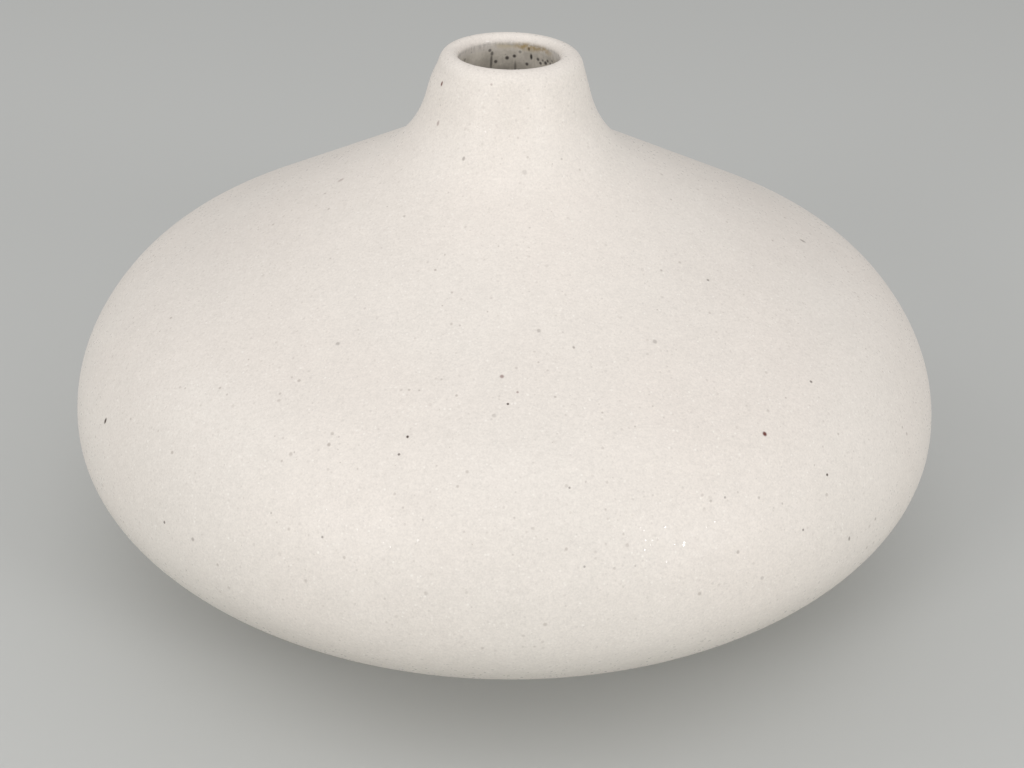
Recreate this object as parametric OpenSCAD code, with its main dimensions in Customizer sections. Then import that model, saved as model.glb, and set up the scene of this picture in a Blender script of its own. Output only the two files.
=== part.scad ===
// Squat bottle vase in thrown stoneware: a flat, lens-shaped belly, a straight flank, a short neck with a
// rolled lip and a turned foot ring. White glaze covers the outside, a grey liner glaze the inside, and a
// thin glaze the well in the foot. Millimetres, +Z up. The origin is the centre of the standing plane.
//
// Every skin is a half section turned about Z. Its long curve is one outline, which section_side() draws at
// any depth below the glazed outside, so each coat lies on the clay by construction.

/* [Belly and flank] */
// Height from the standing plane to the top of the lip
vase_h = 152.5; // [142:0.5:172]
// Width across the widest line of the belly
belly_d = 250; // [236:1:290]
// Height of the widest line above the standing plane
belly_z = 52; // [51:0.5:60]
// Height above the standing plane at which the underside's curve would bottom out
underside_lift = 1.5; // [0.5:0.1:6]
// Rise of the belly's curve, from the widest line to where it would close over
crown_h = 66.8; // [58:0.1:74]
// How far inside the widest line the belly's curve turns into the straight flank
shoulder_in = 20; // [15:0.5:32]
// Half the reach of the soft bend along the shoulder line
shoulder_bend = 8; // [4:0.5:12]

/* [Neck and lip] */
// Height of the neck, from the corner that its side makes with the flank's line to the top of the lip
neck_h = 24.6; // [20:0.05:34]
// Width across the neck where the lip begins
neck_d = 40.8; // [34:0.1:52]
// Lean of the neck's outside, in degrees from upright
neck_lean = 15.7; // [8:0.1:22]
// Radius of the hollow curve that sweeps the flank up into the neck
neck_sweep_r = 29.5; // [12:0.5:36]
// Radius of the lip's outer roll
lip_outer_r = 4.2; // [2:0.1:4.6]
// Radius of the lip's inner roll
lip_inner_r = 2.2; // [1.4:0.1:4]
// Lean of the throat's wall, in degrees from upright
throat_lean = 9; // [3:0.5:14]

/* [Clay wall and foot] */
// Thickness of the clay wall at the widest line
wall_t = 5.2; // [3.4:0.1:8]
// Thickness of the clay above the middle of the foot's well
base_t = 6.5; // [4:0.1:10]
// Width across the foot ring
foot_d = 84; // [60:1:110]
// Width of the foot ring, across its standing face and both rounded edges
foot_ring_w = 5.6; // [3.6:0.1:9]
// Radius of the ring's two lower edges
foot_edge_r = 0.9; // [0.3:0.1:1.5]
// Radius of the corner where the ring meets the underside
foot_corner_r = 1.6; // [0.6:0.1:2]
// Depth of the well at its rim
well_depth = 3.6; // [2.4:0.1:5]
// Rise of the well's ceiling from its rim to its middle
well_arch = 0.8; // [0.2:0.1:1.6]
// Radius of the corner between the ring and the well's ceiling
well_corner_r = 1.4; // [0.5:0.1:2]

/* [Glaze] */
// Thickness of the white glaze outside
glaze_t = 0.5; // [0.3:0.05:0.8]
// Thickness of the liner glaze inside
liner_t = 0.45; // [0.3:0.05:0.8]
// Thickness of the glaze in the foot's well
foot_glaze_t = 0.35; // [0.2:0.05:0.6]
// Bare clay between the foot ring and the edge of the white glaze
bare_band = 2.4; // [2.2:0.1:6]
// How far the white glaze laps down the throat, below the lip's inner roll
glaze_lap = 0.8; // [0.3:0.1:3]

/* [Quality] */
// Facets round the vase
around = 144; // [48:12:240]
// Points on a quarter turn of the belly's curves
quarter_points = 28; // [12:1:48]
// Points on each of the small curves
small_points = 9; // [5:1:20]

/* [Hidden] */

belly_r = belly_d / 2;
shoulder_r = belly_r - shoulder_in;
neck_r = neck_d / 2;
foot_r = foot_d / 2;

// Height at which the lip's outer roll takes over from the neck
neck_top_z = vase_h - lip_outer_r;
// Height at which the lip's inner roll takes over from the throat
throat_top_z = vase_h - lip_inner_r;
// Radius of the lip's crest, set so that the outer roll runs on from the leaning neck
crest_r = neck_r - lip_outer_r / cos(neck_lean);
// Depths below the glazed outside: the clay's outer face, its inner face and the liner's face
clay_in = glaze_t;
hollow_in = glaze_t + wall_t;
liner_in = hollow_in + liner_t;
// Height of the clay's inner floor in the middle
floor_z = well_depth + well_arch + base_t;
// Radius of the white coat's lower edge
glaze_edge_r = foot_r + bare_band;
// Radius at which the well's ceiling turns down into the ring
well_flat_r = foot_r - foot_ring_w - well_corner_r;
// Depth of the rounded underside, from the widest line to where its curve would bottom out
underside_h = belly_z - underside_lift;
// Height of the belly's curve at the shoulder line, where the flank begins
shoulder_z = belly_z + crown_h * sqrt(1 - pow(shoulder_r / belly_r, 2));
// Corner of the flank's line and the neck's line, where the flank ends
neck_root_z = vase_h - neck_h;
neck_root_r = neck_r + (neck_h - lip_outer_r) * tan(neck_lean);
// Slope of the flank, in degrees from the level
flank_slope = atan2(neck_root_z - shoulder_z, shoulder_r - neck_root_r);

// Points of a circular arc about c, from angle a0 to a1, with both ends
function arc(c, r, a0, a1, n) =
    [for (i = [0:n]) c + r * heading(a0 + (a1 - a0) * i / n)];

// Points of an ellipse about the axis at the belly's height, from angle a0 to a1, with both ends
function oval(a, b, a0, a1, n) =
    [for (i = [0:n]) let (t = a0 + (a1 - a0) * i / n) [a * cos(t), belly_z + b * sin(t)]];

// Points of a soft bend from p0 to p1 that leaves and arrives along the lines to its corner
function bend(p0, corner, p1, n) =
    [for (i = [0:n]) let (t = i / n) p0 * pow(1 - t, 2) + corner * 2 * t * (1 - t) + p1 * pow(t, 2)];

// The unit vector at an angle
function heading(a) = [cos(a), sin(a)];

// The point that lies d1 along heading a1 and d2 along heading a2, both measured from the origin
function cross_point(a1, d1, a2, d2) =
    [d1 * sin(a2) - d2 * sin(a1), d2 * cos(a1) - d1 * cos(a2)] / sin(a2 - a1);

function tail(points) = [for (i = [1:len(points) - 1]) points[i]];
function reverse(points) = [for (i = [len(points) - 1:-1:0]) points[i]];

// Height of a skin's underside at radius r. deep is its depth below the glazed outside.
function underside_z(r, deep) =
    belly_z - (underside_h - deep) * sqrt(1 - pow(r / (belly_r - deep), 2));

// The long curve of a skin: underside, belly, soft bend, flank and the sweep up into the neck.
// deep is the skin's depth below the glazed outside, low the drop of its lower curve and start_r the
// radius where that curve begins. The curve runs on into a straight line through top, at the given lean.
function section_side(deep, low, start_r, lean, top) =
    let (
        a = belly_r - deep,
        high = crown_h - deep,
        // the belly's curve ends just outside the shoulder line, where it faces oval_facing
        end = acos((shoulder_r + shoulder_bend) / belly_r),
        oval_end = [a * cos(end), belly_z + high * sin(end)],
        oval_facing = atan2(a * sin(end), high * cos(end)),
        // the flank and the neck are straight lines, each known by its facing and its distance
        flank_facing = 90 - flank_slope,
        flank_line = heading(flank_facing) * [shoulder_r, shoulder_z] - deep,
        neck_line = heading(lean) * top,
        // the soft bend is as long on the flank as on the belly
        corner = cross_point(oval_facing, heading(oval_facing) * oval_end, flank_facing, flank_line),
        bend_end = corner + norm(corner - oval_end) * heading(flank_facing + 90),
        // the sweep is an arc that touches the flank and the neck from outside
        sweep_r = neck_sweep_r + deep,
        sweep_c = cross_point(flank_facing, flank_line + sweep_r, lean, neck_line + sweep_r)
    )
    concat(
        oval(a, low, -acos(start_r / a), 0, quarter_points),
        tail(oval(a, high, 0, end, ceil(quarter_points * end / 90))),
        tail(bend(oval_end, corner, bend_end, small_points)),
        arc(sweep_c, sweep_r, 180 + flank_facing, 180 + lean, 2 * small_points)
    );

// The lip's two rolls at a depth below the glazed outside, from the neck over the crest to the throat
function lip(deep) =
    concat(
        arc([crest_r, neck_top_z], lip_outer_r - deep, neck_lean, 90, small_points),
        tail(arc([crest_r, throat_top_z], lip_inner_r - deep, 90, 180 + throat_lean, small_points))
    );

// The point on the throat's wall, at the lip's depth deep, that lies along below the inner roll
function throat_point(deep, along) =
    [crest_r, throat_top_z] + (lip_inner_r - deep) * heading(180 + throat_lean)
    + along * heading(throat_lean - 90);

// The long curves of the glazed outside and of the clay under it, from the coat's lower edge up
function glaze_face() =
    section_side(0, underside_h, glaze_edge_r, neck_lean, lip(0)[0]);
function clay_face() =
    section_side(clay_in, underside_h - clay_in, glaze_edge_r, neck_lean, lip(clay_in)[0]);

// The long curves of the clay's inside and of the liner glaze on it, from the middle of the floor up
function hollow_face() =
    section_side(hollow_in, belly_z - floor_z, 0, throat_lean, throat_point(clay_in, 0));
function liner_face() =
    section_side(liner_in, belly_z - floor_z - liner_t, 0, throat_lean, throat_point(clay_in - liner_t, 0));

// The turned foot, from the middle of the well out to the bare clay of the underside
function foot_section() =
    concat(
        [[0, well_depth + well_arch]],
        arc([well_flat_r, well_depth - well_corner_r], well_corner_r, 90, 0, small_points),
        arc([foot_r - foot_ring_w + foot_edge_r, foot_edge_r], foot_edge_r, 180, 270, small_points),
        arc([foot_r - foot_edge_r, foot_edge_r], foot_edge_r, 270, 360, small_points),
        bend(
            [foot_r, underside_z(foot_r, clay_in) - foot_corner_r],
            [foot_r, underside_z(foot_r, clay_in)],
            [foot_r + foot_corner_r, underside_z(foot_r + foot_corner_r, clay_in)],
            small_points
        )
    );

// A skin of the vase: its half section turned about the axis
module turned(section) {
    rotate_extrude($fn = around)
        polygon(section);
}

// The thrown shell with its rolled lip, hollow and turned foot, in buff stoneware
module clay_body() {
    color([0.72, 0.65, 0.56])
        turned(concat(
            foot_section(),
            clay_face(),
            lip(clay_in),
            reverse(hollow_face())
        ));
}

// The white coat, from above the foot ring, over the lip, to just inside the mouth
module outer_glaze() {
    color([0.92, 0.90, 0.87])
        turned(concat(
            glaze_face(),
            lip(0),
            [throat_point(0, glaze_lap), throat_point(clay_in, glaze_lap)],
            reverse(lip(clay_in)),
            reverse(clay_face())
        ));
}

// The grey coat that lines the hollow, up to the white coat's edge in the mouth
module liner_glaze() {
    color([0.60, 0.59, 0.57])
        turned(concat(
            hollow_face(),
            [throat_point(clay_in, glaze_lap), throat_point(clay_in - liner_t, glaze_lap)],
            reverse(liner_face())
        ));
}

// The thin coat on the ceiling of the foot's well
module foot_glaze() {
    color([0.88, 0.86, 0.82])
        turned([
            [0, well_depth + well_arch],
            [0, well_depth + well_arch - foot_glaze_t],
            [well_flat_r, well_depth - foot_glaze_t],
            [well_flat_r, well_depth]
        ]);
}

clay_body();
outer_glaze();
liner_glaze();
foot_glaze();
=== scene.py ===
"""Looks of a squat bottle vase in thrown stoneware with a matte white glaze.

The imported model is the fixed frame: four turned skins on one body. Each skin is drawn again from the
same sizes, as a fine turned surface that also has what the hand and the kiln leave on such a pot:
roundness that drifts a little, an uneven rim, coats that thin out along wavy edges, finger rings in
the hollow and turning marks on the foot. The finishes are mixed from sizes in millimetres.
"""

import logging
import math
from dataclasses import astuple, dataclass, field, replace
from enum import Enum
from functools import cached_property, reduce
from typing import Any, Callable, ClassVar, Mapping, Sequence

import bpy
import numpy as np
from mathutils import Matrix, Vector


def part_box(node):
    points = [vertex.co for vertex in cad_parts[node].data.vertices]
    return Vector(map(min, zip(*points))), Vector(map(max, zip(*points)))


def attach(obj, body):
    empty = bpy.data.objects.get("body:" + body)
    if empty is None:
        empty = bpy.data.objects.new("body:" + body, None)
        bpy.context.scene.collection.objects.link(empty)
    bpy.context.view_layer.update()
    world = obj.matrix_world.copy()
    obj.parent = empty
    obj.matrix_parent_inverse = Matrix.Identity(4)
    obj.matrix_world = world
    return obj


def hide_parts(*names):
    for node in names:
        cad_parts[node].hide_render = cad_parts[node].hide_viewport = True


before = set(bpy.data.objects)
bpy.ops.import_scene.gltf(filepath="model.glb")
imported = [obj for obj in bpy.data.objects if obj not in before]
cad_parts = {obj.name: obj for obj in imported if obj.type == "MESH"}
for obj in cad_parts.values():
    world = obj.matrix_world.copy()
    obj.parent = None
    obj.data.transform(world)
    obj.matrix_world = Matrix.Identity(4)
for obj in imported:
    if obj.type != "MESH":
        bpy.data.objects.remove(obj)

log = logging.getLogger("vase")

MM = 0.001
FULL_TURN = 2 * math.pi
NOISE_MIDDLE = 0.5
BODY = "root"

Colour = tuple[float, float, float]
Span = tuple[float, float]


# Curves of a half section, as arrays of (radius, height)


def heading(degrees: float) -> np.ndarray:
    """Gives the unit vector at an angle: (cosine, sine)."""
    return np.array([math.cos(math.radians(degrees)), math.sin(math.radians(degrees))])


def arc(centre: Sequence[float], size: float | Span, start: float, end: float, count: int) -> np.ndarray:
    """Draws a circle's or oval's arc: centre + size * (cos a, sin a), with a in degrees in even steps."""
    angle = np.radians(np.linspace(start, end, count + 1))
    return np.asarray(centre) + np.asarray(size) * np.stack([np.cos(angle), np.sin(angle)], axis=1)


def bend(first: np.ndarray, corner: np.ndarray, last: np.ndarray, count: int) -> np.ndarray:
    """Draws the curve first (1-t)^2 + corner 2t(1-t) + last t^2, whose end tangents meet at the corner."""
    t = np.linspace(0.0, 1.0, count + 1)[:, None]
    return first * (1 - t) ** 2 + corner * 2 * t * (1 - t) + last * t**2


def crossing(first: Span, second: Span) -> np.ndarray:
    """Finds where two lines cross.

    Args:
        first: A line's facing, in degrees, and its distance from the origin along that facing.
        second: The same of the other line.

    Returns:
        The point that lies on both.
    """
    (cos_a, sin_a), (cos_b, sin_b) = heading(first[0]), heading(second[0])
    point = np.array([first[1] * sin_b - second[1] * sin_a, second[1] * cos_a - first[1] * cos_b])
    return point / (cos_a * sin_b - sin_a * cos_b)


def smooth(values: np.ndarray) -> np.ndarray:
    """Eases values from 0 to 1 as 3t^2 - 2t^3, with t the value clipped to that range."""
    t = np.clip(values, 0.0, 1.0)
    return t * t * (3 - 2 * t)


def crests(phase: np.ndarray) -> np.ndarray:
    """Gives a wave between 0 and 1: (1 + cos phase) / 2."""
    return (1 + np.cos(phase)) / 2


def rounded(values: np.ndarray) -> np.ndarray:
    """Gives a quarter round's height, sqrt(1 - (1 - t)^2), with t the value clipped to 0 to 1."""
    return np.sqrt(1 - (1 - np.clip(values, 0.0, 1.0)) ** 2)


@dataclass(frozen=True)
class VaseForm:
    """Sizes of the vase, in metres and degrees, and the curves of its half section.

    The first five are read from the frame. The others repeat the driving sizes of the construction.
    """

    belly_r: float
    height: float
    glaze_t: float
    wall_t: float
    floor_z: float
    belly_z: float = 52.0 * MM
    underside_lift: float = 1.5 * MM
    crown_h: float = 66.8 * MM
    shoulder_in: float = 20.0 * MM
    shoulder_bend: float = 8.0 * MM
    neck_h: float = 24.6 * MM
    neck_r: float = 20.4 * MM
    neck_lean: float = 15.7
    neck_sweep_r: float = 29.5 * MM
    lip_outer_r: float = 4.2 * MM
    lip_inner_r: float = 2.2 * MM
    throat_lean: float = 9.0
    foot_r: float = 42.0 * MM
    foot_ring_w: float = 5.6 * MM
    foot_edge_r: float = 0.9 * MM
    foot_corner_r: float = 1.6 * MM
    well_depth: float = 3.6 * MM
    well_arch: float = 0.8 * MM
    well_corner_r: float = 1.4 * MM
    liner_t: float = 0.45 * MM
    foot_glaze_t: float = 0.35 * MM
    bare_band: float = 2.4 * MM
    glaze_lap: float = 0.8 * MM
    curve_steps: int = 60
    small_steps: int = 18

    @classmethod
    def from_frame(cls) -> "VaseForm":
        """Reads the sizes that the frame's boxes give, and keeps the others as driven."""
        white, clay, (low, liner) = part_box("outer_glaze")[1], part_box("clay_body")[1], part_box("liner_glaze")
        return cls(white.x, white.z, white.x - clay.x, clay.x - liner.x, low.z)

    @property
    def crest(self) -> np.ndarray:
        """The lip's highest point, where its two rolls meet."""
        return np.array([self.neck_r - self.lip_outer_r / heading(self.neck_lean)[0], self.height])

    @property
    def well(self) -> np.ndarray:
        """The ends of the well's ceiling: on the axis, and where it turns down into the foot ring."""
        flat_r = self.foot_r - self.foot_ring_w - self.well_corner_r
        return np.array([(0.0, self.well_depth + self.well_arch), (flat_r, self.well_depth)])

    def underside_z(self, radius: float, deep: float) -> float:
        """Gives the height of the underside at a radius, for a skin's depth below the glazed outside."""
        drop = self.belly_z - self.underside_lift - deep
        return self.belly_z - drop * math.sqrt(1 - (radius / (self.belly_r - deep)) ** 2)

    def side(self, deep: float, drop: float, start_r: float, lean: float, top: np.ndarray) -> np.ndarray:
        """Draws the long curve of a skin: underside, belly, soft bend, flank and the sweep to the neck.

        The belly is two half ovals that meet at its widest line. The flank and the neck are straight
        lines, and an arc that touches both sweeps from one to the other.

        Args:
            deep: Depth of the skin below the glazed outside.
            drop: Drop of its lower oval.
            start_r: Radius at which the curve begins.
            lean: Lean of the line that it runs on into, in degrees from upright.
            top: A point on that line.

        Returns:
            Points from the underside up to the end of the sweep.
        """
        middle, steps = np.array([0.0, self.belly_z]), self.curve_steps
        across, high = self.belly_r - deep, self.crown_h - deep
        shoulder_r = self.belly_r - self.shoulder_in
        shoulder_z = self.belly_z + self.crown_h * math.sqrt(1 - (shoulder_r / self.belly_r) ** 2)
        root_r = self.neck_r + (self.neck_h - self.lip_outer_r) * math.tan(math.radians(self.neck_lean))
        rise = self.height - self.neck_h - shoulder_z
        facing = 90.0 - math.degrees(math.atan2(rise, shoulder_r - root_r))
        flank = float(heading(facing) @ np.array([shoulder_r, shoulder_z])) - deep
        end = math.degrees(math.acos((shoulder_r + self.shoulder_bend) / self.belly_r))
        oval_end = middle + np.array([across, high]) * heading(end)
        oval_facing = math.degrees(math.atan2(across * heading(end)[1], high * heading(end)[0]))
        corner = crossing((oval_facing, float(heading(oval_facing) @ oval_end)), (facing, flank))
        reach = float(np.linalg.norm(corner - oval_end))
        sweep_r = self.neck_sweep_r + deep
        sweep_c = crossing((facing, flank + sweep_r), (lean, float(heading(lean) @ top) + sweep_r))
        curves = [
            arc(middle, (across, drop), -math.degrees(math.acos(start_r / across)), 0.0, steps),
            arc(middle, (across, high), 0.0, end, steps)[1:],
            bend(oval_end, corner, corner + reach * heading(facing + 90), steps)[1:],
            arc(sweep_c, sweep_r, 180 + facing, 180 + lean, steps),
        ]
        return np.concatenate(curves)

    def lip(self, deep: float) -> np.ndarray:
        """Draws the lip: the outer roll, then the tighter inner one, each under the crest.

        Args:
            deep: Depth below the glazed outside.

        Returns:
            Points from the neck over the crest to the throat.
        """
        ends = (self.neck_lean, 90, 180 + self.throat_lean)
        outer, inner = (
            arc(self.crest - np.array([0.0, size]), size - deep, start, end, self.small_steps)
            for size, start, end in zip((self.lip_outer_r, self.lip_inner_r), ends, ends[1:])
        )
        return np.concatenate([outer, inner[1:]])

    def throat_point(self, deep: float, along: float) -> np.ndarray:
        """Finds a point on the throat's wall.

        Args:
            deep: Depth of the lip below the glazed outside.
            along: How far down from the inner roll the point lies.

        Returns:
            The point.
        """
        inner = self.crest - np.array([0.0, self.lip_inner_r])
        wall = inner + (self.lip_inner_r - deep) * heading(180 + self.throat_lean)
        return wall + along * heading(self.throat_lean - 90)

    def outside(self, deep: float, lap: float) -> np.ndarray:
        """Draws a skin's outside, from the glaze's lower edge over the lip.

        Args:
            deep: Depth of the skin below the glazed outside.
            lap: How far it runs on below the inner roll.

        Returns:
            Its points.
        """
        drop = self.belly_z - self.underside_lift - deep
        side = self.side(deep, drop, self.foot_r + self.bare_band, self.neck_lean, self.lip(deep)[0])
        return np.concatenate([side, self.lip(deep), self.throat_point(deep, lap)[None]])

    def inside(self, coat: float, lap: float) -> np.ndarray:
        """Draws the hollow's wall, from the middle of the floor up.

        Args:
            coat: Thickness of what lies on the clay.
            lap: How far below the inner roll it ends.

        Returns:
            Its points.
        """
        top = self.throat_point(self.glaze_t - coat, lap)
        deep, drop = self.glaze_t + self.wall_t + coat, self.belly_z - self.floor_z - coat
        return np.concatenate([self.side(deep, drop, 0.0, self.throat_lean, top), top[None]])

    def foot(self) -> np.ndarray:
        """Draws the turned foot: from the middle of the well, round the ring, to the bare underside.

        Returns:
            Its points.
        """
        edge, corner, steps = self.foot_edge_r, self.foot_corner_r, self.small_steps
        joint = self.underside_z(self.foot_r, self.glaze_t)
        after = self.underside_z(self.foot_r + corner, self.glaze_t)
        curve = [(self.foot_r, joint - corner), (self.foot_r, joint), (self.foot_r + corner, after)]
        turns = (
            (self.well[1] - np.array([0.0, self.well_corner_r]), self.well_corner_r, 90, 0),
            ((self.foot_r - self.foot_ring_w + edge, edge), edge, 180, 270),
            ((self.foot_r - edge, edge), edge, 270, 360),
        )
        rounds = [arc(*turn, steps) for turn in turns]
        return np.concatenate([self.well[:1], *rounds, bend(*map(np.array, curve), steps)])

    def outside_radius(self, height: float) -> float:
        """Gives the radius of the glazed outside at a height, from its curve up to the crest."""
        curve = self.outside(0.0, 0.0)[: -self.small_steps - 1]
        return float(np.interp(height, curve[:, 1], curve[:, 0]))

    def throat_radius(self, height: float) -> float:
        """Gives the radius of the throat's lined wall at a height, on its straight stretch."""
        top = self.throat_point(self.glaze_t - self.liner_t, 0.0)
        return float(top[0] + (top[1] - height) * math.tan(math.radians(self.throat_lean)))


class Track:
    """A half section's curve, read by the distance along it.

    Even points lie along it a step apart. Of the curve's own points, two that are closer than the
    least leg count as one.
    """

    step: ClassVar[float] = 0.2 * MM
    fewest: ClassVar[int] = 8
    least_leg: ClassVar[float] = 1e-9

    def __init__(self, points: np.ndarray) -> None:
        """Lays even points along a curve and works out which way it faces at each.

        The facing is the curve's direction turned a quarter turn to the right, outwards where the
        curve runs up the outside.

        Args:
            points: The curve's own points.
        """
        legs = np.linalg.norm(np.diff(points, axis=0), axis=1)
        kept = points[np.concatenate([[True], legs > self.least_leg])]
        along = np.concatenate([[0.0], np.cumsum(np.linalg.norm(np.diff(kept, axis=0), axis=1))])
        self.length = float(along[-1])
        self.along = np.linspace(0.0, self.length, max(self.fewest, round(self.length / self.step)))
        spots = np.stack([np.interp(self.along, along, kept[:, k]) for k in (0, 1)], axis=1)
        run = np.gradient(spots, self.along, axis=0)
        run /= np.linalg.norm(run, axis=1, keepdims=True)
        self.values = (*spots.T, run[:, 1], -run[:, 0])

    def offset(self, along: np.ndarray, depth: np.ndarray | float = 0.0) -> np.ndarray:
        """Finds points at distances along the curve, sunk below it by a depth, against its facing."""
        radius, height, out, up = (np.interp(along, self.along, value) for value in self.values)
        return np.stack([radius - out * depth, height - up * depth], axis=-1)


@dataclass(frozen=True)
class RowPitch:
    """How closely a section's rows lie, in millimetres: finely at its ends, wider in the middle."""

    middle: float
    first: float
    last: float
    reach_first: float
    reach_last: float
    sum_steps: ClassVar[int] = 4000

    def rows(self, length: float) -> np.ndarray:
        """Lays the rows so that each step is as long as the pitch there.

        The pitch eases from its end value to the middle one over the reach. Its reciprocal is summed
        along the section, and the rows lie at even steps of that sum.

        Args:
            length: Length of the section, in metres.

        Returns:
            Distances of the rows, from 0 to the length.
        """
        middle, first, last, reach_first, reach_last = (size * MM for size in astuple(self))
        spot = np.linspace(0.0, length, self.sum_steps)
        pitch = middle + (first - middle) * (1 - smooth(spot / reach_first))
        density = 1 / (pitch + (last - pitch) * (1 - smooth((length - spot) / reach_last)))
        total = np.concatenate([[0.0], np.cumsum((density[1:] + density[:-1]) / 2 * np.diff(spot))])
        return np.interp(np.linspace(0.0, total[-1], int(total[-1]) + 2), total, spot)


@dataclass(frozen=True)
class Ripple:
    """A smooth uneven field on a turned surface, the same each time: a sum of seeded waves."""

    seed: int
    waves: int
    most_round: int
    longest: float
    shortest: float
    smallest: float = 0.4

    def field(self, angle: np.ndarray, along: np.ndarray) -> np.ndarray:
        """Sums waves cos(n angle + 2 pi along / length + phase), with n whole so that each closes.

        Args:
            angle: Angles round the vase, in radians.
            along: Distances along the section.

        Returns:
            The sum, brought into 0 to 1.
        """
        dice = np.random.default_rng(self.seed)
        total, weight = np.zeros(np.broadcast(angle, along).shape), 0.0
        for _ in range(self.waves):
            turns = int(dice.integers(-self.most_round, self.most_round + 1))
            length = self.shortest * (self.longest / self.shortest) ** dice.random()
            phase = dice.random() * FULL_TURN
            size = self.smallest + dice.random()
            total += size * np.cos(turns * angle + FULL_TURN * along / length + phase)
            weight += size
        return (1 + total / weight) / 2


@dataclass(frozen=True)
class ThrowersHand:
    """The slow unevenness that a hand leaves in a thrown pot."""

    keep_in: float = 0.04 * MM
    drift: float = 0.16 * MM
    rim_dip: float = 0.12 * MM
    rim_reach: float = 14.0 * MM
    rim_turn: float = 120.0
    sway: float = 0.2 * MM
    sway_turn: float = 180.0
    sway_reach: float = 45.0 * MM
    wear: float = 0.95 * MM
    wear_turn: float = 165.0
    wear_drop: float = 2.6 * MM
    wear_reach: float = 3.6 * MM
    wear_narrow: int = 4
    wander: Ripple = Ripple(seed=11, waves=7, most_round=3, longest=0.4, shortest=0.09)

    def shape(self, form: VaseForm, angle: np.ndarray, section: np.ndarray) -> np.ndarray:
        """Draws a section in by a share that wanders round the vase, and changes its neck and rim.

        Radius shrinks by the share (keep_in + drift * wander) / belly_r. The neck sways: radius grows
        by sway * cos(angle - sway_turn), which fades out below it. The lip's outer corner is drawn in
        on one side by wear times two bell curves, one of the angle and one of the height. Height drops
        by the dip times (1 - cos(angle - rim_turn)) / 2 near the rim.

        Args:
            form: The vase's sizes.
            angle: Angles of the columns, in radians.
            section: Points as (rows, columns, 2).

        Returns:
            The shaped points.
        """
        radius, height = section[..., 0], section[..., 1]
        down = form.height - height
        share = (self.keep_in + self.drift * self.wander.field(angle, height)) / form.belly_r
        sway = self.sway * np.cos(angle - math.radians(self.sway_turn)) * (1 - smooth(down / self.sway_reach))
        one_side = crests(angle - math.radians(self.wear_turn)) ** self.wear_narrow
        corner = np.exp(-(((down - self.wear_drop) / self.wear_reach) ** 2))
        worn = self.wear * one_side * corner * smooth((radius - form.crest[0]) / form.lip_outer_r)
        moved = radius * (1 - share) + sway * smooth(radius / form.lip_inner_r) - worn
        low_side = 1 - crests(angle - math.radians(self.rim_turn))
        dip = self.rim_dip * low_side * (1 - smooth(down / self.rim_reach))
        return np.stack([np.where(radius > 0, moved, 0), height - dip], axis=-1)


class Closing(Enum):
    """How a turned section closes: as a loop, or with both its ends on the axis."""

    LOOP = "loop"
    AXIS = "axis"


@dataclass
class TurnedSurface:
    """Rows and columns of a turned surface, with values that go with each of its points."""

    section: np.ndarray
    angle: np.ndarray
    closing: Closing
    layers: Mapping[str, np.ndarray]

    def mesh(self, name: str) -> bpy.types.Mesh:
        """Makes the closed mesh: a point is (radius cos angle, radius sin angle, height).

        Four-sided faces join neighbouring rows and columns. Where a section ends on the axis, its end
        rows become one point there and a fan of triangles. The faces are turned round if the signed
        volume, the sum of each triangle's triple product over six, is negative.

        Args:
            name: The mesh's name.

        Returns:
            The mesh, smooth, with its layers as point attributes.
        """
        rows, columns, _ = self.section.shape
        radius, height = self.section[..., 0], self.section[..., 1]
        points = np.stack([radius * np.cos(self.angle), radius * np.sin(self.angle), height], axis=-1)
        loop = self.closing is Closing.LOOP
        inner = slice(None) if loop else slice(1, rows - 1)
        ring = points[inner].reshape(-1, 3)
        values = {key: layer[inner].reshape(-1) for key, layer in self.layers.items()}
        count = ring.shape[0] // columns
        lower, here = np.arange(count if loop else count - 1)[:, None], np.arange(columns)
        upper, there = (lower + 1) % count, (here + 1) % columns
        pairs = ((lower, here), (lower, there), (upper, there), (upper, here))
        quads = np.stack([row * columns + column for row, column in pairs], axis=-1).reshape(-1, 4)
        fans = np.zeros((0, 3), int)
        if not loop:
            first, top = np.full(columns, ring.shape[0]), (count - 1) * columns
            fan_sides = ((first, there, here), (first + 1, top + here, top + there))
            fans = np.concatenate([np.stack(corners, axis=1) for corners in fan_sides])
            ring = np.concatenate([ring, [(0.0, 0.0, height[row].mean()) for row in (0, -1)]])
            for key, layer in self.layers.items():
                values[key] = np.concatenate([values[key], [layer[row].mean() for row in (0, -1)]])
        triangles = np.concatenate([quads[:, [0, 1, 2]], quads[:, [0, 2, 3]], fans])
        a, b, c = (ring[triangles[:, k]] for k in range(3))
        if np.einsum("ij,ij->i", np.cross(a, b), c).sum() < 0:
            quads, fans = quads[:, ::-1], fans[:, ::-1]
        made = bpy.data.meshes.new(name)
        made.from_pydata(ring.tolist(), [], quads.tolist() + fans.tolist())
        for key, value in values.items():
            made.attributes.new(key, "FLOAT", "POINT").data.foreach_set("value", value.astype(np.float32))
        made.shade_smooth()
        made.update()
        return made


def placed(name: str, data: bpy.types.ID) -> bpy.types.Object:
    """Makes an object and puts it in the scene.

    Args:
        name: Its name.
        data: Its mesh, lamp or camera.

    Returns:
        The object.
    """
    made = bpy.data.objects.new(name, data)
    bpy.context.scene.collection.objects.link(made)
    return made


# Node trees


def math_node(operation: str, turned: bool = False) -> Callable[["Wire", "Wire | float"], "Wire"]:
    """Makes a method of Wire that adds one Math node.

    Args:
        operation: The node's operation.
        turned: Whether the other value comes first, as in a reflected operator.

    Returns:
        The method.
    """

    def method(self: "Wire", other: "Wire | float") -> "Wire":
        """Adds the node for this value and another one."""
        pair = (other, self) if turned else (self, other)
        return self.bench.node("ShaderNodeMath", {"operation": operation}, dict(enumerate(pair)))

    return method


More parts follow.
